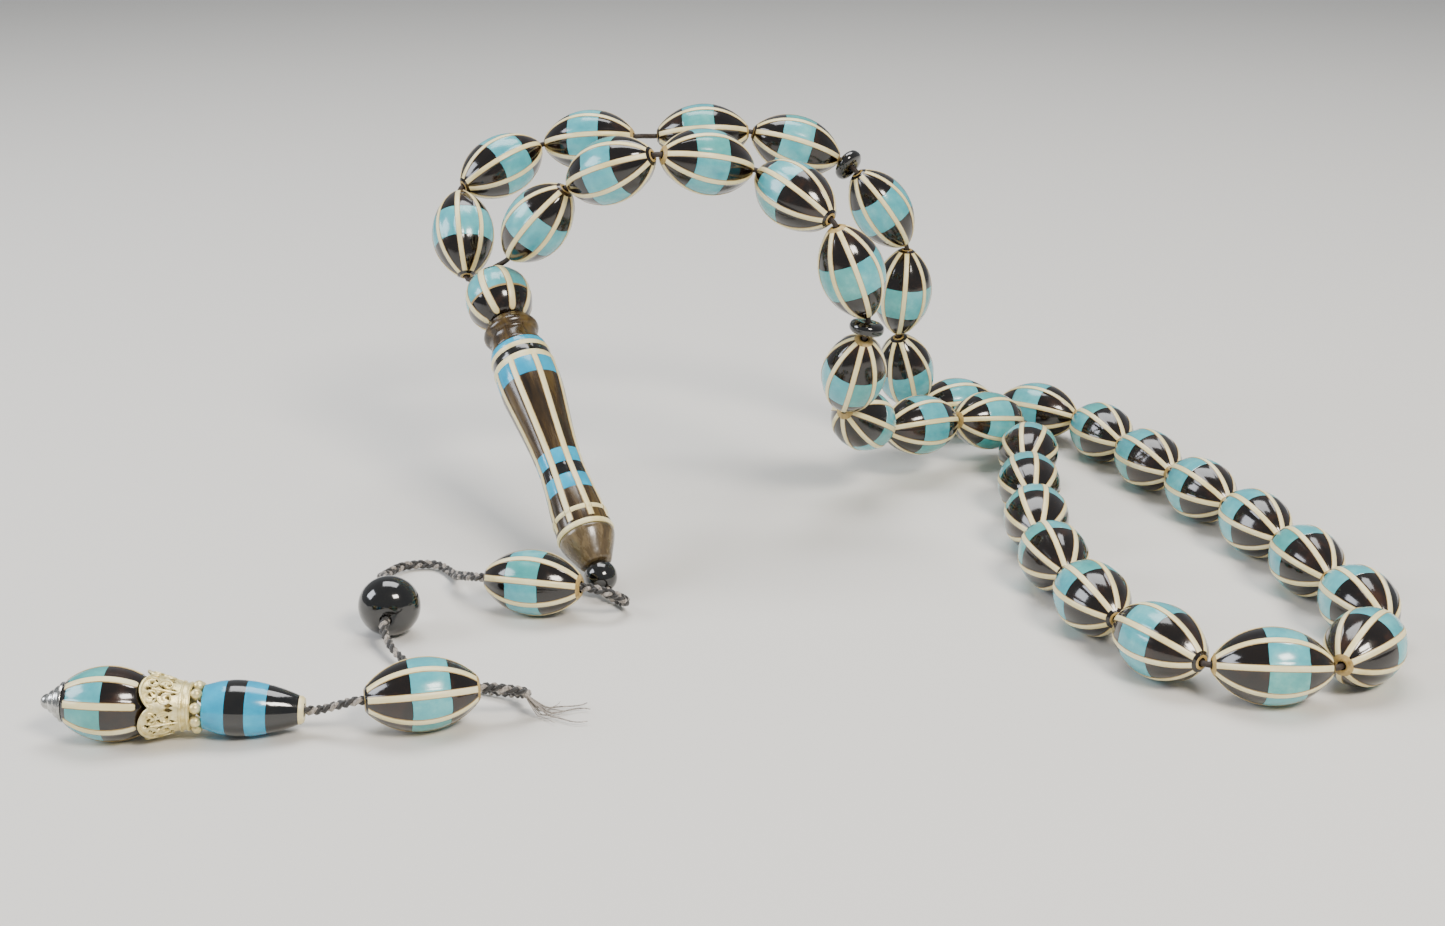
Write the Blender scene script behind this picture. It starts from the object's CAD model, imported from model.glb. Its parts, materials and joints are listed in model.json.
"""Looks for a strand of misbaha prayer beads.

Inlaid barrel beads, disc separators, a turned leader and a corded tail. Sizes are in millimetres, times MM in a mesh.
"""

import json
import math
import random

import bpy
from mathutils import Matrix, Vector


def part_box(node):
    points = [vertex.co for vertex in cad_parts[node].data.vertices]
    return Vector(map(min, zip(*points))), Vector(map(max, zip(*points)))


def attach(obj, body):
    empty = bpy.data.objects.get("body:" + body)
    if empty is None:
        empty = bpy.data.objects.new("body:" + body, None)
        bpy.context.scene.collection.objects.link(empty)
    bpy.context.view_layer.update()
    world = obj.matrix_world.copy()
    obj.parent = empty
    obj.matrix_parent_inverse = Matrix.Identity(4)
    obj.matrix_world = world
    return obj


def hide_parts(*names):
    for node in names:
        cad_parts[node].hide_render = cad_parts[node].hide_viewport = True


MM = 0.001
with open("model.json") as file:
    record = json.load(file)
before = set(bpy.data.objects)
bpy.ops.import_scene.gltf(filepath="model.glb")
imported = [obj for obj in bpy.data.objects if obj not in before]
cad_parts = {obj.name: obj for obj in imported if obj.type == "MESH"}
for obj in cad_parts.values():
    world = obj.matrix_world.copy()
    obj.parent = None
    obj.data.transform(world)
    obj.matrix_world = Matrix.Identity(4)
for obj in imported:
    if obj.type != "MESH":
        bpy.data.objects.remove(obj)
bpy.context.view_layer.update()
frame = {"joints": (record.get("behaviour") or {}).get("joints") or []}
random.seed(33)

# Camera and the tail cord come first

camera = bpy.data.objects.new("camera", bpy.data.cameras.new("camera"))
camera.data.sensor_width = 36
camera.data.lens = 47.34
camera.location = Vector((-4.87, -268, 107)) * MM
camera.rotation_euler = (math.radians(71), 0, 0)
camera.data.clip_start = 0.01
camera.data.clip_end = 20
bpy.context.scene.collection.objects.link(camera)
bpy.context.scene.camera = camera


def axis_frame(centre, axis, facing=(0, -0.93, 0.36), turn=0):
    """Places a piece with its Z on the axis and its X towards facing, turned by degrees about the axis."""
    z = Vector(axis).normalized()
    x = Vector(facing)
    x = (x - z * x.dot(z)).normalized()
    y = z.cross(x)
    rows = Matrix((x, y, z)).transposed().to_4x4()
    return Matrix.Translation(centre) @ rows @ Matrix.Rotation(math.radians(turn), 4, "Z")


def mesh_piece(name, vertices, faces, slots, materials, place=None, smooth_angle=38):
    mesh = bpy.data.meshes.new(name)
    mesh.from_pydata(vertices, [], faces)
    for material in materials:
        mesh.materials.append(material)
    mesh.polygons.foreach_set("material_index", slots)
    mesh.polygons.foreach_set("use_smooth", [True] * len(faces))
    mesh.set_sharp_from_angle(angle=math.radians(smooth_angle))
    mesh.update()
    piece = bpy.data.objects.new(name, mesh)
    if place is not None:
        piece.matrix_world = place
    bpy.context.scene.collection.objects.link(piece)
    return piece


def ring_faces(start, bands, around):
    """Faces of the bands between rings of vertices, each ring of that many, the first ring starting at start."""
    faces = []
    for i in range(bands):
        low = start + i * around
        for k in range(around):
            n = (k + 1) % around
            faces.append((low + k, low + n, low + around + n, low + around + k))
    return faces


def smooth_route(points, step, straight=()):
    """Catmull-Rom route through the points; the stretches whose first index is in straight stay straight."""
    knots = []
    for i, p in enumerate(points[:-1]):
        knots.append(Vector(p))
        if i in straight:
            q = Vector(points[i + 1])
            knots += [Vector(p).lerp(q, t) for t in (0.08, 0.5, 0.92)]
    knots.append(Vector(points[-1]))
    route = []
    for i in range(len(knots) - 1):
        a, b = knots[max(i - 1, 0)], knots[i]
        c, d = knots[i + 1], knots[min(i + 2, len(knots) - 1)]
        ta, tb, tc = [max(math.sqrt((q - p).length), 1e-4) for p, q in ((a, b), (b, c), (c, d))]
        m1 = (c - b) + ((b - a) / ta - (c - a) / (ta + tb)) * tb
        m2 = (c - b) + ((d - c) / tc - (d - b) / (tb + tc)) * tb
        n = max(2, int((c - b).length / step))
        for k in range(n):
            t = k / n
            route.append(
                b * (2 * t**3 - 3 * t**2 + 1) + m1 * (t**3 - 2 * t**2 + t)
                + c * (3 * t**2 - 2 * t**3) + m2 * (t**3 - t**2)
            )
    route.append(knots[-1])
    return route


def route_frames(route):
    """A pair of directions across the route at every point, carried along without twist."""
    frames = []
    across = None
    for i, p in enumerate(route):
        along = (route[min(i + 1, len(route) - 1)] - route[max(i - 1, 0)]).normalized()
        if across is None:
            across = along.orthogonal()
        across = (across - along * across.dot(along)).normalized()
        frames.append((across.copy(), along.cross(across)))
    return frames


def sweep(route, radius, sides, vertices, faces, taper=None):
    """Adds a round rod along the route to a mesh's vertices and faces, and returns how many faces it added."""
    start, before = len(vertices), len(faces)
    frames = route_frames(route)
    for i, (p, (a, b)) in enumerate(zip(route, frames)):
        r = radius * (taper(i / (len(route) - 1)) if taper else 1)
        for k in range(sides):
            angle = 2 * math.pi * k / sides
            vertices.append(p + (a * math.cos(angle) + b * math.sin(angle)) * r)
    faces += ring_faces(start, len(route) - 1, sides)
    faces.append(tuple(start + k for k in range(sides))[::-1])
    faces.append(tuple(start + (len(route) - 1) * sides + k for k in range(sides)))
    return len(faces) - before


# Leader line, from its mouth down to its foot
FOOT = Vector((-22.299, -15.828, 3)) * MM
MOUTH = Vector((-41.57, 25.5, 37.2)) * MM
UP = (MOUTH - FOOT).normalized()

# Turning points of the tail cord, in millimetres from the foot
TAIL = [
    (2.9, -3.9, -2.2), (3.9, -6.2, -1.2), (2.3, -8.4, 0.7), (-1, -8.15, 1.6), (-17, -4.15, 1.6),
    (-20.4, 0.35, 0), (-21.7, 5.35, -2), (-25.2, 9.85, -2.2), (-29.7, 9.35, -2.2), (-32, 3.85, -1.6),
    (-30.4, -2.7, 1), (-28, -8.2, 2.3), (-28, -18.7, 0.1), (-26.1, -22.6, -1.2), (-22.6, -26.3, -2.1),
    (-17.7, -30.1, -2.2), (-12.2, -32.7, -2.2), (-8, -35.1, -1.5), (-7.2, -38.6, 0.5),
    (-11.3, -39.6, 1.6), (-27.3, -43.6, 1.6), (-29.9, -43.2, 0.75), (-32.35, -42.7, -0.1), (-33.55, -42.75, 0),
]
CONE_AXIS = Vector((-31.4, -2, 2.2)).normalized()
tail_points = [FOOT + Vector(p) * MM for p in TAIL]
CONE_START = tail_points[-1]

# Materials


def linear(code):
    """sRGB hex to linear RGBA."""
    parts = [int(code[i:i + 2], 16) / 255 for i in (1, 3, 5)]
    return [c / 12.92 if c <= 0.04045 else ((c + 0.055) / 1.055) ** 2.4 for c in parts] + [1]


def add(tree, kind, settings=None, **inputs):
    """Adds one node: settings are its own properties, inputs are values or the sockets that feed it."""
    node = tree.nodes.new(kind)
    for key, value in (settings or {}).items():
        setattr(node, key, value)
    for key, value in inputs.items():
        socket = node.inputs[int(key[1:])] if key[0] == "_" else node.inputs[key.replace("_", " ")]
        if isinstance(value, bpy.types.NodeSocket):
            tree.links.new(value, socket)
        else:
            socket.default_value = value
    return node


def ramp(tree, factor, stops):
    node = add(tree, "ShaderNodeValToRGB", Fac=factor)
    band = node.color_ramp
    while len(band.elements) < len(stops):
        band.elements.new(0.5)
    for element, (place, code) in zip(band.elements, stops):
        element.position = place
        element.color = linear(code)
    return node.outputs["Color"]


def finish_material(name, stops, size_mm, detail=4, stretch=(1, 1, 1), rough=(0.2, 0.3), bump=0.0,
                    bump_mm=0.3, **shader):
    """A material whose colour runs over stops in a noise of the given size, with its own bump and roughness."""
    material = bpy.data.materials.new(name)
    material.use_nodes = True
    tree = material.node_tree
    tree.nodes.clear()
    place = add(tree, "ShaderNodeTexCoord").outputs["Object"]
    chance = add(tree, "ShaderNodeObjectInfo").outputs["Random"]
    apart = add(tree, "ShaderNodeMath", {"operation": "MULTIPLY"}, _0=chance, _1=37.0)
    grid = add(tree, "ShaderNodeMapping", Vector=place, Scale=[s * 1000 / size_mm for s in stretch])
    clouds = add(tree, "ShaderNodeTexNoise", {"noise_dimensions": "4D"}, Vector=grid.outputs[0],
                 W=apart.outputs[0], Scale=1.0, Detail=detail, Roughness=0.62)
    colour = ramp(tree, clouds.outputs["Fac"], stops)
    gloss = add(tree, "ShaderNodeMapRange", Value=clouds.outputs["Fac"], From_Min=0.3, From_Max=0.7,
                To_Min=rough[0], To_Max=rough[1])
    surface = add(tree, "ShaderNodeBsdfPrincipled", Base_Color=colour, Roughness=gloss.outputs[0], **shader)
    if bump:
        fine = add(tree, "ShaderNodeTexNoise", {"noise_dimensions": "4D"}, Vector=grid.outputs[0],
                   W=apart.outputs[0], Scale=size_mm / bump_mm, Detail=3)
        relief = add(tree, "ShaderNodeBump", Height=fine.outputs["Fac"], Strength=bump, Distance=0.0002)
        tree.links.new(relief.outputs[0], surface.inputs["Normal"])
    add(tree, "ShaderNodeOutputMaterial", Surface=surface.outputs[0])
    return material


# Coquilla nut, turned and oil polished: near black with brown clouds that show where light strikes
nut = finish_material("coquilla_nut_polished", [(0.36, "#080504"), (0.54, "#130b06"), (0.7, "#341e10")], 5,
                      rough=(0.08, 0.18), bump=0.05, IOR=1.53, Coat_Weight=0.5, Coat_Roughness=0.06)
# Bone strips, cut and polished flush: warm cream with faint yellow growth lines
bone = finish_material("bone_strip_polished", [(0.3, "#e3d08c"), (0.5, "#f0e3ac"), (0.7, "#f9f0c8")], 2.5,
                       stretch=(1, 1, 0.25), rough=(0.28, 0.42), bump=0.12, IOR=1.54)
# Sawn side of the bone: tan from the glue line
bone_edge = finish_material("bone_edge_stained", [(0.3, "#7d6437"), (0.7, "#b99c62")], 0.8,
                            rough=(0.45, 0.6), bump=0.1)
# Boxwood end ring: honey coloured, worn by the thread
boxwood = finish_material("boxwood_end_ring", [(0.3, "#8f7236"), (0.7, "#c9ad6f")], 0.9,
                          rough=(0.35, 0.5), bump=0.15)
# Reconstituted turquoise tiles, ground flush: three batches, each with soft pale clouds
tiles = [
    finish_material("turquoise_tile_" + batch, stops, 3.2, detail=6, rough=(0.16, 0.27), bump=0.04,
                    IOR=1.58, Coat_Weight=0.35, Coat_Roughness=0.08)
    for batch, stops in (
        ("sky", [(0.3, "#3b97a6"), (0.55, "#54b0b9"), (0.72, "#74c4c6")]),
        ("sea", [(0.3, "#379090"), (0.55, "#4fa8a6"), (0.72, "#70bfb8")]),
        ("pale", [(0.3, "#45a1ac"), (0.55, "#60b9c0"), (0.72, "#82cdce")]),
    )
]
# Azure enamel-blue resin bands: clear strong blue, evenly coloured
azure = finish_material("azure_resin_band", [(0.3, "#0590ba"), (0.55, "#0ca6cf"), (0.75, "#2abddf")], 4,
                        rough=(0.16, 0.26), bump=0.03, IOR=1.5, Coat_Weight=0.4, Coat_Roughness=0.06)
# Buffalo horn of the leader, turned: brown with darker fibres along its length
horn = finish_material("buffalo_horn_turned", [(0.32, "#1a1106"), (0.5, "#3b2a0e"), (0.68, "#66501f")], 1.6,
                       stretch=(1, 1, 0.12), rough=(0.2, 0.34), bump=0.1, IOR=1.55, Coat_Weight=0.3,
                       Coat_Roughness=0.12)
# Paler horn tip at the foot
horn_tip = finish_material("buffalo_horn_tip", [(0.3, "#2e2518"), (0.5, "#54462f"), (0.7, "#837150")], 1.8,
                           stretch=(1, 1, 0.15), rough=(0.2, 0.32), bump=0.1, IOR=1.55, Coat_Weight=0.3,
                           Coat_Roughness=0.1)
# Jet, polished: plain deep black with a wet shine
jet = finish_material("jet_polished", [(0.35, "#060606"), (0.7, "#15130f")], 3, rough=(0.08, 0.16), bump=0.03,
                      IOR=1.62, Coat_Weight=0.6, Coat_Roughness=0.04)
# Cast silver with a thin gilding wash: pale straw colour, satin, darker in its hollows
silver = finish_material("gilt_silver_cast", [(0.3, "#cdb870"), (0.5, "#ecdda0"), (0.7, "#fbf1c6")], 0.7,
                         rough=(0.3, 0.46), bump=0.25, bump_mm=0.2, Metallic=0.6)
# Bright turned silver of the finial: neutral grey, dulled in its grooves
bright_silver = finish_material("silver_turned", [(0.3, "#8d8d8a"), (0.5, "#b8b8b4"), (0.7, "#dadad6")], 0.8,
                                rough=(0.16, 0.3), bump=0.03, Metallic=1.0)
# Tarnish in the bottom of the filigree
tarnish = finish_material("silver_tarnished", [(0.3, "#2f2717"), (0.7, "#7d6c41")], 0.6, rough=(0.45, 0.6),
                          bump=0.3, bump_mm=0.2, Metallic=0.6)
# Waxed cotton thread inside the strand, dark and dull
thread = finish_material("cotton_thread_waxed", [(0.3, "#17110d"), (0.7, "#3c2f25")], 0.3, rough=(0.5, 0.7),
                         bump=0.3, bump_mm=0.1)
# Silk plait yarns: one black, one silver grey, with the sheen of filament silk
silk_black = finish_material("silk_yarn_black", [(0.35, "#0b0a0a"), (0.65, "#2a2725")], 0.25,
                             stretch=(1, 1, 0.4), rough=(0.32, 0.5), bump=0.5, bump_mm=0.08, Sheen_Weight=0.3)
silk_grey = finish_material("silk_yarn_silver_grey", [(0.35, "#57504a"), (0.65, "#b9b0a6")], 0.25,
                            stretch=(1, 1, 0.4), rough=(0.3, 0.45), bump=0.5, bump_mm=0.08, Sheen_Weight=0.3)

# Turned and inlaid pieces

SECTORS = 8
STRIP_SPREAD = (-1, -0.8, 0, 0.8, 1)
STRIP_LIFT = (0, 0.85, 1, 0.85, 0)
PANEL_STEPS = 6


def turning(name, rows, materials, place, strips=None, tile_slip=None):
    """Revolves rows of (z, r, paint) in millimetres. paint(k) is the material number of sector k from that row to the
    next. strips is (low z, high z, width, lift, round ends, material, side material); tile_slip(z, k) moves a row
    along the axis in sector k."""
    low, high, width, lift, round_ends, top_slot, side_slot = strips or (1, 0, 1, 0, False, 0, 0)
    across = len(STRIP_SPREAD) + PANEL_STEPS - 1
    vertices = []
    kept = []
    for z, r, paint in rows:
        shown = low <= z <= high
        wide = width
        if shown and round_ends:
            for edge in round_ends:
                reach = abs(z - edge) / (width / 2)
                if reach < 1:
                    wide = width * math.sqrt(max(0.02, 1 - (1 - reach) ** 2))
        half = min(math.asin(min(1, wide / 2 / max(r, wide / 2))), math.pi / SECTORS * 0.96)
        kept.append(shown)
        for k in range(SECTORS):
            middle = 2 * math.pi * k / SECTORS
            for spread, rise in zip(STRIP_SPREAD, STRIP_LIFT):
                angle = middle + half * spread
                out = r + (lift * rise if shown else 0)
                vertices.append(Vector((out * math.cos(angle), out * math.sin(angle), z)) * MM)
            gap = 2 * math.pi / SECTORS - 2 * half
            slip = tile_slip(z, k) if tile_slip else 0
            for step in range(1, PANEL_STEPS):
                angle = middle + half + gap * step / PANEL_STEPS
                vertices.append(Vector((r * math.cos(angle), r * math.sin(angle), z + slip)) * MM)
    ring = across * SECTORS
    last_panel = len(STRIP_SPREAD) - 2
    slots = []
    for i in range(len(rows) - 1):
        for k in range(SECTORS):
            for j in range(across):
                if j <= last_panel and kept[i] and kept[i + 1]:
                    slots.append(side_slot if j in (0, last_panel) else top_slot)
                else:
                    slots.append(rows[i][2](k))
    return mesh_piece(name, vertices, ring_faces(0, len(rows) - 1, ring), slots, materials, place)


def plain(slot):
    return lambda k: slot


def one_skin(profile, back=0):
    """Rows of one material through a profile of (z, radius), measured from back."""
    return [(z - back, r, plain(0)) for z, r in profile]


def radius_at(stations, s):
    """Radius at s from stations of (place, radius), straight between them."""
    for (s0, r0), (s1, r1) in zip(stations, stations[1:]):
        if s <= s1:
            break
    return r0 + (r1 - r0) * (s - s0) / (s1 - s0)


def barrel(z, d, l, e):
    """Radius of a barrel of diameter d and length l with end radius e."""
    s = d / 2 - e
    big = (l * l / 4 + s * s) / (2 * s)
    return math.sqrt(max(0, big * big - z * z)) + d / 2 - big


BEAD_D, BEAD_L, BEAD_END_R, BORE_R, BAND_L = 10, 15.2, 1.0, 0.6, 5.2
THREAD_R = 0.4
# Depth of the core's surface under the proud inlay
FLUSH = 0.07
BEAD_SKIN = [nut, bone, bone_edge, boxwood] + tiles
NUT, BONE, EDGE, RING, TILE = 0, 1, 2, 3, 4


def bead_rows(d, l, e, bore, band, tile_of):
    """Rows of an inlaid barrel bead: bore, honey end rings, nut, and the turquoise band from band[0] to band[1]."""
    ring_l = 0.35
    groove = 0.03
    crowded = 0.08
    marks = sorted(set(
        [round(-l / 2 + ring_l + (l - 2 * ring_l) * i / 34, 4) for i in range(35)]
        + [band[0] - groove, band[0], band[0] + groove, band[1] - groove, band[1], band[1] + groove]))
    marks = [z for z in marks if all(abs(z - b) > crowded for b in band)
             or any(abs(z - b) < groove + 0.001 for b in band)]
    rows = [(-l / 2 + 1, bore, plain(NUT)), (-l / 2 + 0.05, bore, plain(RING)), (-l / 2, bore + 0.1, plain(RING)),
            (-l / 2, e - 0.12, plain(RING)), (-l / 2 + 0.06, e, plain(RING))]
    for z in marks:
        r = barrel(z, d, l, e)
        dip = 0.035 if z in band else 0
        rows.append((z, r - FLUSH - dip, tile_of if band[0] <= z < band[1] else plain(NUT)))
    rows += [(l / 2 - 0.06, e, plain(RING)), (l / 2, e - 0.12, plain(RING)), (l / 2, bore + 0.1, plain(RING)),
             (l / 2 - 0.05, bore, plain(NUT)), (l / 2 - 1, bore, plain(NUT))]
    return rows


def inlaid_bead(name, place, d, l, e, bore, middle, length, strip_w=0.86, seed=0):
    chance = random.Random(seed)
    batch = [TILE + chance.choice((0, 0, 1, 2)) for k in range(SECTORS)]
    slips = [chance.uniform(-0.16, 0.16) for k in range(SECTORS)]
    band = (middle - length / 2, middle + length / 2)
    rows = bead_rows(d, l, e, bore, band, lambda k: batch[k])

    def slip(z, k):
        return slips[k] * max(0, 1 - abs(z - middle) / (l / 2 - 0.6)) ** 0.5 if abs(z) < l / 2 - 0.7 else 0

    return turning(name, rows, BEAD_SKIN, place,
                   (-l / 2 + 0.3, l / 2 - 0.3, strip_w, 0.08, False, BONE, EDGE), slip)


joints = {j["name"]: j for j in frame["joints"]}
BAND_MIDDLE = [0.3, 0.1, -1, -1.8, 0, 0.5, 1, 0, -1, -1.6, -1.3, -1.5, -1.5, -1.3, -0.5, 1.2, 1.5,
               1.5, 1.2, 1.3, 1.2, 1.3, 1.3, 0.8, 0, -0.8, -1, 0.5, 0.6, 0.7, 0, -0.8, -0.3]
THREAD_DEPTH = 9
# The thread runs straight to this far from the middle of a bead or a separator
BEAD_REACH, DISC_REACH = BEAD_L / 2 + 0.1, 1.1
thread_stops = [(MOUTH - UP * THREAD_DEPTH * MM, UP), (MOUTH, UP)]
DISC_ROWS = [(-0.6, 0.6), (-0.95, 0.75), (-1, 1.1), (-0.98, 1.7), (-0.85, 2.2), (-0.55, 2.55), (-0.2, 2.68),
             (0.2, 2.68), (0.55, 2.55), (0.85, 2.2), (0.98, 1.7), (1, 1.1), (0.95, 0.75), (0.6, 0.6)]
for n in range(1, len(BAND_MIDDLE) + 1):
    node = f"bead_{n:02d}"
    joint = joints[node + "_spin"]
    centre, axis = Vector(joint["pos_m"]), Vector(joint["axis"]).normalized()
    bead = inlaid_bead("inlaid_" + node, axis_frame(centre, axis), BEAD_D, BEAD_L, BEAD_END_R, BORE_R,
                       BAND_MIDDLE[n - 1], BAND_L, seed=n)
    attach(bead, node)
    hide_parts(node)
    thread_stops += [(centre - axis * BEAD_REACH * MM, axis), (centre + axis * BEAD_REACH * MM, axis)]
    if n in (5, 28):
        side = "front" if n == 5 else "back"
        hinge = joints[f"separator_{side}_spin"]
        spot, line = Vector(hinge["pos_m"]), Vector(hinge["axis"]).normalized()
        disc = turning("jet_disc_" + side, one_skin(DISC_ROWS), [jet], axis_frame(spot, line))
        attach(disc, "separator_" + side)
        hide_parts("separator_" + side)
        thread_stops += [(spot - line * DISC_REACH * MM, line), (spot + line * DISC_REACH * MM, line)]
thread_stops += [(MOUTH, -UP), (MOUTH - UP * THREAD_DEPTH * MM, -UP)]

# Loop thread: straight inside the beads, a soft bend between them
thread_route = []
for (a, ta), (b, tb) in zip(thread_stops, thread_stops[1:]):
    pull = (b - a).length
    for i in range(8):
        t = i / 8
        thread_route.append(a * (2 * t**3 - 3 * t**2 + 1) + ta * pull * (t**3 - 2 * t**2 + t)
                            + b * (3 * t**2 - 2 * t**3) + tb * pull * (t**3 - t**2))
thread_route.append(thread_stops[-1][0])
verts, quads = [], []
sweep(thread_route, THREAD_R * MM, 10, verts, quads)
loop_thread = mesh_piece("loop_thread", verts, quads, [0] * len(quads), [thread])
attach(loop_thread, "leader")
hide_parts("loop_cord")

# Leader


def down(s):
    return MOUTH - UP * s * MM


HEAD_D, HEAD_L, HEAD_END_R, HEAD_BORE_R = 10.5, 9.9, 2.4, 1.25
head_rows = []
# Closer rows where the strips end rounded
head_stations = sorted([-HEAD_L / 2 + 0.1 + (HEAD_L - 0.35) * i / 30 for i in range(31)]
                       + [HEAD_L / 2 - back for back in (0.42, 0.46, 0.53, 0.63, 0.75)])
for z in head_stations:
    r = barrel(z, HEAD_D, HEAD_L, HEAD_END_R) - FLUSH
    part = (z + HEAD_L / 2) / HEAD_L
    paint = (lambda k: TILE + (k * 5) % 3) if 0.13 < part < 0.56 else plain(EDGE if 0.56 <= part < 0.6 else NUT)
    head_rows.append((z, r, paint))
head_rows = ([(-HEAD_L / 2 + 1.2, HEAD_BORE_R, plain(NUT)), (-HEAD_L / 2 + 0.1, 1.3, plain(RING)),
              (-HEAD_L / 2, 1.5, plain(RING)), (-HEAD_L / 2, 2.2, plain(NUT))] + head_rows
             + [(HEAD_L / 2 - 0.15, 1.9, plain(NUT)), (HEAD_L / 2 - 0.15, HEAD_BORE_R, plain(NUT)),
                (HEAD_L / 2 - 1, HEAD_BORE_R, plain(NUT))])
head = turning("leader_head_inlaid", head_rows, BEAD_SKIN, axis_frame(down(HEAD_L / 2), -UP, turn=12),
               (-HEAD_L / 2 + 0.05, HEAD_L / 2 - 0.41, 1.15, 0.09, (HEAD_L / 2 - 0.4,), BONE, EDGE))
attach(head, "leader_head")
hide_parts("leader_head", "leader_head_tiles", "leader_head_strips")

# Profiles of the leader: distance down from its mouth, and radius
COLLAR_AT, COLUMN_AT, FOOT_AT = 10.08, 15.6, 50.25
COLLAR = [(10.08, 1.25), (10.08, 3.1), (10.2, 3.5), (10.5, 3.75), (10.8, 3.8), (10.95, 3.9), (11.2, 4.2),
          (11.6, 4.35), (12, 4.35), (12.35, 4.2), (12.6, 3.95), (12.75, 3.75), (13, 3.66), (13.4, 3.65), (13.9, 3.72),
          (14.4, 3.85), (14.8, 4), (15, 4.08), (15.15, 4.1), (15.3, 4.08), (15.42, 4), (15.5, 3.9), (15.5, 1.25)]
collar = turning("leader_collar_turned", one_skin(COLLAR, COLLAR_AT), [horn], axis_frame(down(COLLAR_AT), -UP))
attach(collar, "leader")
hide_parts("leader_collar")

COLUMN_R = [(15.6, 4.42), (17, 4.6), (18.5, 4.7), (20, 4.8), (21.5, 4.86), (23, 4.84), (25, 4.66), (28, 4.3),
            (31, 3.94), (34, 3.64), (36.5, 3.5), (38.7, 3.47), (41, 3.6), (43.5, 3.8), (45.5, 3.98), (47.5, 4.12),
            (50.2, 4.22)]
# Where each band of the column starts, and its number in the column's materials: the last entry is the end
COLUMN_SKIN = [horn, bone, azure, jet, bone_edge]
HORN, CREAM, AZURE, JET, CREAM_EDGE = 0, 1, 2, 3, 4
COLUMN_BANDS = [(15.6, AZURE), (16.5, CREAM), (17.4, JET), (18.6, CREAM), (19.7, AZURE), (22.8, HORN), (36.2, AZURE),
                (38.7, JET), (40.8, AZURE), (43.4, HORN), (46.8, CREAM), (47.6, HORN), (49.3, CREAM), (50.2, CREAM)]
column_rows = []
for (s0, slot), (s1, _) in zip(COLUMN_BANDS, COLUMN_BANDS[1:]):
    steps = max(5, int((s1 - s0) / 0.6))
    for i in range(steps + 1):
        t = i / steps
        s = s0 + 0.02 + (s1 - s0 - 0.04) * t
        swell = 0.13 * math.sin(math.pi * t) ** 0.5 if slot == CREAM else 0
        seam = 0.03 if i in (0, steps) else 0
        column_rows.append((s - COLUMN_AT, radius_at(COLUMN_R, s) - 0.02 + swell - seam, plain(slot)))
column_rows = [(0.02, 0.1, plain(JET))] + column_rows + [(34.58, 0.1, plain(JET))]
column = turning("leader_column", column_rows, COLUMN_SKIN, axis_frame(down(COLUMN_AT), -UP, turn=14),
                 (4.05, 33.6, 1.0, 0.07, False, CREAM, CREAM_EDGE))
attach(column, "leader")
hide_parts("leader_body", "leader_azure_bands", "leader_cream_rings", "leader_strips")

FOOT_TIP = [(50.25, 0.1), (50.25, 3.9), (50.35, 4.08), (50.6, 4.14), (51, 4.05), (51.8, 3.75), (52.6, 3.4),
            (53.4, 3.02), (54.2, 2.65), (54.7, 2.42), (54.95, 2.25), (55.05, 2), (55.05, 0.1)]
foot_piece = turning("leader_foot_tip", one_skin(FOOT_TIP, FOOT_AT), [horn_tip], axis_frame(down(FOOT_AT), -UP))
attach(foot_piece, "leader")
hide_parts("leader_foot")


def ball_rows(r, half, bore, flat):
    """A bored ball of radius r, drawn out or flattened to half its length, with a soft lip at each bore."""
    rows = [(-half + 0.8, bore), (-half + 0.05, bore)]
    for i in range(25):
        angle = math.radians(-90 + flat + (180 - 2 * flat) * i / 24)
        rows.append((half * math.sin(angle) / math.cos(math.radians(flat)), r * math.cos(angle) ** 0.9))
    return rows + [(half - 0.05, bore), (half - 0.8, bore)]


end_ball = turning("leader_end_ball_jet", one_skin(ball_rows(2.35, 2.2, 0.8, 22)), [jet], axis_frame(FOOT, UP))
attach(end_ball, "leader")
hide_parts("leader_end_ball")

# Tail


def centre_of(node):
    low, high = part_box(node)
    return (low + high) / 2


for side, seed, band, turn in (("upper", 71, 0.6, 2), ("lower", 72, -0.8, 0)):
    node = "tail_bead_" + side
    axis = Vector(joints[node + "_slide"]["axis"])
    bead = inlaid_bead("inlaid_" + node, axis_frame(centre_of(node), axis, turn=turn), 9.2, 14, 1.45, 0.85,
                       band, 4.8, strip_w=0.9, seed=seed)
    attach(bead, node)
    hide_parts(node)

ball = turning("tail_ball_jet", one_skin(ball_rows(4.25, 3.48, 0.85, 20)), [jet],
               axis_frame(centre_of("tail_ball"), joints["tail_ball_slide"]["axis"]))
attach(ball, "tail_ball")
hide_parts("tail_ball")

# Tail cord: three silk yarns plaited round each other, a full turn every 3 mm
cord_start = FOOT - UP * 2.2 * MM
cord_route = smooth_route([cord_start, FOOT - UP * 2.9 * MM] + tail_points + [CONE_START + CONE_AXIS * 2.9 * MM],
                          0.25 * MM, straight=(5, 13, 21, 24))
PLAIT_TURN = 3.0
verts, quads, skins = [], [], []
frames = route_frames(cord_route)
for yarn in range(3):
    phase = 2 * math.pi * yarn / 3
    walked, line = 0, []
    for i, (p, (a, b)) in enumerate(zip(cord_route, frames)):
        if i:
            walked += (p - cord_route[i - 1]).length
        angle = 2 * math.pi * walked / (PLAIT_TURN * MM) + phase
        line.append(p + a * math.sin(angle) * 0.38 * MM + b * math.sin(2 * angle) * 0.24 * MM)
    skins += [1 if yarn == 2 else 0] * sweep(line, 0.31 * MM, 7, verts, quads)
plait = mesh_piece("tail_plait", verts, quads, skins, [silk_black, silk_grey])
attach(plait, "leader")
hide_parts("tail_cord")

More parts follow.
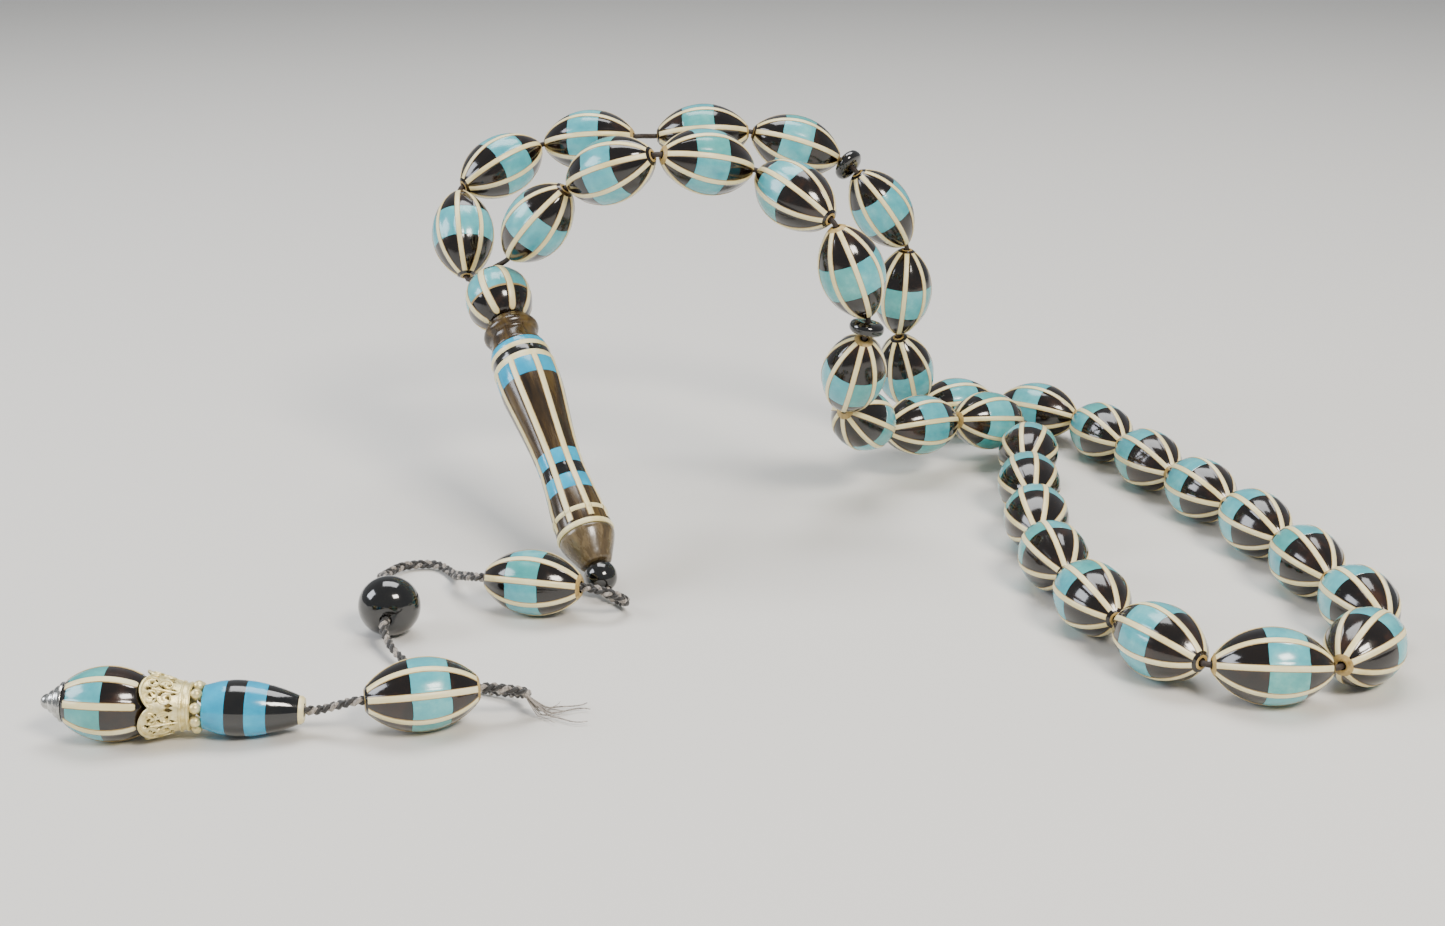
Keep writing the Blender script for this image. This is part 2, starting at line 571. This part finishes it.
# Loose silk ends beside the lower bead, where the cord was knotted and cut
verts, quads = [], []
knot = tail_points[18]
for k in range(9):
    heading = -0.35 + 0.12 * k + random.uniform(-0.06, 0.06)
    reach = (8.2 if k % 3 == 1 else random.uniform(3, 5.5)) * MM
    line = []
    for i in range(13):
        t = i / 12
        curl = 0.18 * math.sin(5 * t + k) * t
        line.append(knot + Vector((math.cos(heading + curl) * reach * t, math.sin(heading + curl) * reach * t,
                                   (0.3 * MM + 0.1 * MM * (k % 3) - knot.z) * min(1, 2.6 * t) ** 0.8)))
    sweep(line, (0.16 if k % 3 == 1 else 0.08) * MM, 6, verts, quads, taper=lambda t: 1 - 0.6 * t)
loose_ends = mesh_piece("loose_silk_ends", verts, quads, [0] * len(quads), [silk_grey])
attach(loose_ends, "leader")

# End piece


def on_cone(s):
    return CONE_START + CONE_AXIS * s * MM


CONE_L = 12
CONE_R = [(0, 1.55), (0.3, 1.72), (0.6, 1.8), (2, 2.35), (4, 2.95), (6, 3.35), (8, 3.5), (10, 3.3), (11.2, 2.95),
          (CONE_L, 2.65)]
# Where each band of the cone starts, and its number in the cone's materials: the last entry is the end
CONE_BANDS = [(0.6, 0), (4.3, 1), (6.8, 0), (9.2, 1), (CONE_L, 1)]


def soft(stations, s, reach=0.7):
    """The cone's radius averaged over a short reach, so that its stations leave no corner."""
    return sum(radius_at(stations, min(CONE_L, max(0, s + reach * (i - 3) / 3))) for i in range(7)) / 7


cone_rows = [(3, 0.85, plain(0)), (0.05, 0.85, plain(2)), (0, 1.0, plain(2)), (0, 1.45, plain(2)),
             (0.15, 1.62, plain(2)), (0.35, 1.76, plain(2)), (0.55, 1.76, plain(2))]
for (s0, slot), (s1, _) in zip(CONE_BANDS, CONE_BANDS[1:]):
    for i in range(9):
        s = s0 + 0.02 + (s1 - s0 - 0.04) * i / 8
        cone_rows.append((s, soft(CONE_R, s) - (0.03 if i in (0, 8) else 0), plain(slot)))
cone_rows.append((CONE_L, 0.1, plain(0)))
cone = turning("banded_cone", cone_rows, [jet, azure, bone], axis_frame(on_cone(0), CONE_AXIS))
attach(cone, "end_piece")
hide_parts("end_cone", "end_cone_bands", "end_cone_rim")

CAP_AT, CAP_L = 13.4, 5.7
# Nine cast balls side by side in a ring
GRANULES, GRANULE_R, GRANULE_REACH = 9, 0.72, 2.55
GRANULE_ROWS, GRANULE_SIDES, GRANULE_HALF_L = 9, 12, 0.7
verts, quads = [], []
for k in range(GRANULES):
    angle = 2 * math.pi * k / GRANULES
    x, y = math.cos(angle), math.sin(angle)
    quads += ring_faces(len(verts), GRANULE_ROWS - 1, GRANULE_SIDES)
    for i in range(GRANULE_ROWS):
        pitch = math.radians(-90 + 180 * i / (GRANULE_ROWS - 1))
        for j in range(GRANULE_SIDES):
            turn = 2 * math.pi * j / GRANULE_SIDES
            out = GRANULE_REACH + GRANULE_R * math.cos(pitch) * math.cos(turn)
            across = GRANULE_R * math.cos(pitch) * math.sin(turn)
            verts.append(Vector((out * x - across * y, out * y + across * x,
                                 GRANULE_HALF_L + GRANULE_HALF_L * math.sin(pitch))) * MM)
granules = mesh_piece("granule_ring_cast", verts, quads, [0] * len(quads), [silver],
                      axis_frame(on_cone(CONE_L), CONE_AXIS))
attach(granules, "end_piece")
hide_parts("granule_ring")

CAP_R = [(0, 2.6), (0.5, 2.85), (1.3, 2.95), (2.2, 3.2), (3.4, 3.6), (4.6, 3.92), (5.7, 4.05)]


def on_cap(angle, s, rise):
    r = radius_at(CAP_R, min(CAP_L, max(0, s))) + rise
    return Vector((r * math.cos(angle), r * math.sin(angle), s)) * MM


# Filigree: five lobes of gilt plate edged with wire, pierced with teardrops between two scrolls
LOBES = 5
LOBE_TURN = 2 * math.pi / LOBES
# The cap's length between two lobes
VALLEY_L = 4.1
AROUND, ROWS = 240, 34
PIERCED_DEPTH = 0.28
# Pierced openings of half a lobe: place along the cap, degrees from the lobe's middle, half length, half width, slant
PIERCED = [(4.75, 0, 0.36, 0.22, 0), (4.45, 13, 0.42, 0.2, -0.9), (3.75, 20, 0.42, 0.22, 0.5),
           (3.2, 7.5, 0.5, 0.22, 0.7), (2.35, 16, 0.4, 0.2, -0.6), (1.9, 4.5, 0.32, 0.16, 0.3),
           (3.95, 7, 0.3, 0.16, -0.4), (2.3, 31, 0.42, 0.22, 0)]


def lobe_edge(angle, inset=0):
    """How far along the cap its lobed edge lies at an angle."""
    return VALLEY_L + (CAP_L - VALLEY_L - inset) * abs(math.cos(LOBES * angle / 2)) ** 0.6


def pierced(angle, s):
    part = (math.degrees(angle) + 36) % 72 - 36
    for at, off, long, wide, slant in PIERCED:
        x = (abs(part) - off) * math.pi / 180 * radius_at(CAP_R, s)
        along, across = (s - at) + slant * x, x - slant * (s - at)
        if (along / long) ** 2 + (across / (wide * (1 + 0.5 * along / long))) ** 2 < 1:
            return True
    return False


verts, skins = [], []
for i in range(ROWS + 1):
    for j in range(AROUND):
        angle = 2 * math.pi * j / AROUND
        s = lobe_edge(angle) * i / ROWS
        verts.append(on_cap(angle, s, -PIERCED_DEPTH if pierced(angle, s) else 0))
quads = ring_faces(0, ROWS, AROUND)
for i in range(ROWS):
    for j in range(AROUND):
        angle = 2 * math.pi * (j + 0.5) / AROUND
        skins.append(1 if pierced(angle, lobe_edge(angle) * (i + 0.5) / ROWS) else 0)


def wire(points, radius):
    skins.extend([0] * sweep(points, radius * MM, 8, verts, quads))


SCROLL_R = 0.13
for k in range(LOBES):
    middle = LOBE_TURN * k
    spread = [LOBE_TURN * (-0.5 + i / 40) for i in range(41)]
    wire([on_cap(middle + angle, lobe_edge(angle, inset=0.1), 0.02) for angle in spread], 0.2)
    for hand in (-1, 1):
        for start, size, turns, off in ((4.35, 0.95, 1.3, 0.24), (2.75, 0.85, 1.25, 0.27)):
            scroll = []
            for i in range(40):
                t = i / 39
                wind = turns * 2 * math.pi * t
                reach = size * (1 - 0.72 * t)
                swing = off + reach * math.sin(wind) / radius_at(CAP_R, start)
                scroll.append(on_cap(middle + hand * swing, start + reach * math.cos(wind), 0.03))
            wire(scroll, SCROLL_R)
    wire([on_cap(middle, s / 10, 0.03) for s in range(12, 44)], SCROLL_R)
for s, radius in ((0.25, 0.22), (1.05, 0.16)):
    wire([on_cap(2 * math.pi * i / 72, s, 0.05) for i in range(73)], radius)
cap = mesh_piece("filigree_cap_lobed", verts, quads, skins, [silver, tarnish],
                 axis_frame(on_cone(CAP_AT), CONE_AXIS, turn=36))
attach(cap, "end_piece")
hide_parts("filigree_cap")

# Oval bead: its strips end rounded at the cap and run together at the finial
OVAL_D, OVAL_L, OVAL_E = 9.2, 10.6, 2.6
CAP_OVERLAP = 1.2
oval_start = CAP_AT + CAP_L - CAP_OVERLAP
oval_rows = []
# Closer rows where the strips end rounded
oval_stations = sorted([-OVAL_L / 2 + 0.02 + (OVAL_L - 0.04) * i / 36 for i in range(37)]
                       + [-3.79, -3.76, -3.71, -3.65, -3.56, -3.44])
for z in oval_stations:
    part = (z + OVAL_L / 2) / OVAL_L
    paint = (lambda k: TILE + (k * 7) % 3) if 0.5 < part < 0.93 else plain(NUT)
    oval_rows.append((z, barrel(z, OVAL_D, OVAL_L, OVAL_E) - FLUSH, paint))
oval_rows = [(-OVAL_L / 2, 0.1, plain(NUT))] + oval_rows + [(OVAL_L / 2, 0.1, plain(NUT))]
oval = turning("oval_bead_inlaid", oval_rows, BEAD_SKIN, axis_frame(on_cone(oval_start + OVAL_L / 2), CONE_AXIS),
               (-3.75, OVAL_L / 2 - 0.05, 0.95, 0.09, (-3.8,), BONE, EDGE))
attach(oval, "end_piece")
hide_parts("end_bead", "end_bead_tiles", "end_bead_strips")

FINIAL = [(0, 0.1), (0, 2.25), (0.08, 2.4), (0.25, 2.46), (0.42, 2.42), (0.52, 2.25), (0.56, 2.05), (0.66, 2),
          (0.85, 1.98), (1.05, 1.86), (1.2, 1.68), (1.26, 1.5), (1.36, 1.46), (1.55, 1.42), (1.75, 1.28),
          (1.88, 1.1), (1.93, 0.98), (2.05, 0.96), (2.3, 0.92), (2.55, 0.76), (2.74, 0.52), (2.86, 0.24),
          (2.9, 0.02)]
finial = turning("finial_turned", one_skin(FINIAL), [bright_silver],
                 axis_frame(on_cone(oval_start + OVAL_L + 0.06), CONE_AXIS))
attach(finial, "end_piece")
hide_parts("finial")

# Pale floor and soft studio light

floor_mesh = bpy.data.meshes.new("floor")
floor_mesh.from_pydata([(-3, -3, 0), (3, -3, 0), (3, 3, 0), (-3, 3, 0)], [], [(0, 1, 2, 3)])
floor = bpy.data.objects.new("floor", floor_mesh)
floor.location.z = -0.0001
bpy.context.scene.collection.objects.link(floor)
paper = bpy.data.materials.new("studio_paper")
paper.use_nodes = True
paper.node_tree.nodes["Principled BSDF"].inputs["Base Color"].default_value = linear("#dcdad5")
paper.node_tree.nodes["Principled BSDF"].inputs["Roughness"].default_value = 0.7
floor_mesh.materials.append(paper)


def softbox(name, spot, target, size, power, colour):
    light = bpy.data.lights.new(name, "AREA")
    light.shape = "RECTANGLE"
    light.size, light.size_y = size
    light.energy = power
    light.color = linear(colour)[:3]
    lamp = bpy.data.objects.new(name, light)
    lamp.location = spot
    lamp.rotation_euler = (Vector(target) - Vector(spot)).to_track_quat("-Z", "Y").to_euler()
    bpy.context.scene.collection.objects.link(lamp)


softbox("key_softbox", (0.28, -0.42, 0.5), (0, 0, 0.02), (0.22, 0.16), 5, "#fff6ea")
softbox("side_softbox", (-0.6, -0.1, 0.35), (0, 0, 0.02), (0.3, 0.3), 3.2, "#f2f6ff")
softbox("top_softbox", (0, 0.25, 0.8), (0, 0, 0), (0.6, 0.4), 6, "#ffffff")
world = bpy.data.worlds.new("studio")
world.use_nodes = True
world.node_tree.nodes["Background"].inputs["Color"].default_value = linear("#dfe3e8")
world.node_tree.nodes["Background"].inputs["Strength"].default_value = 0.45
bpy.context.scene.world = world
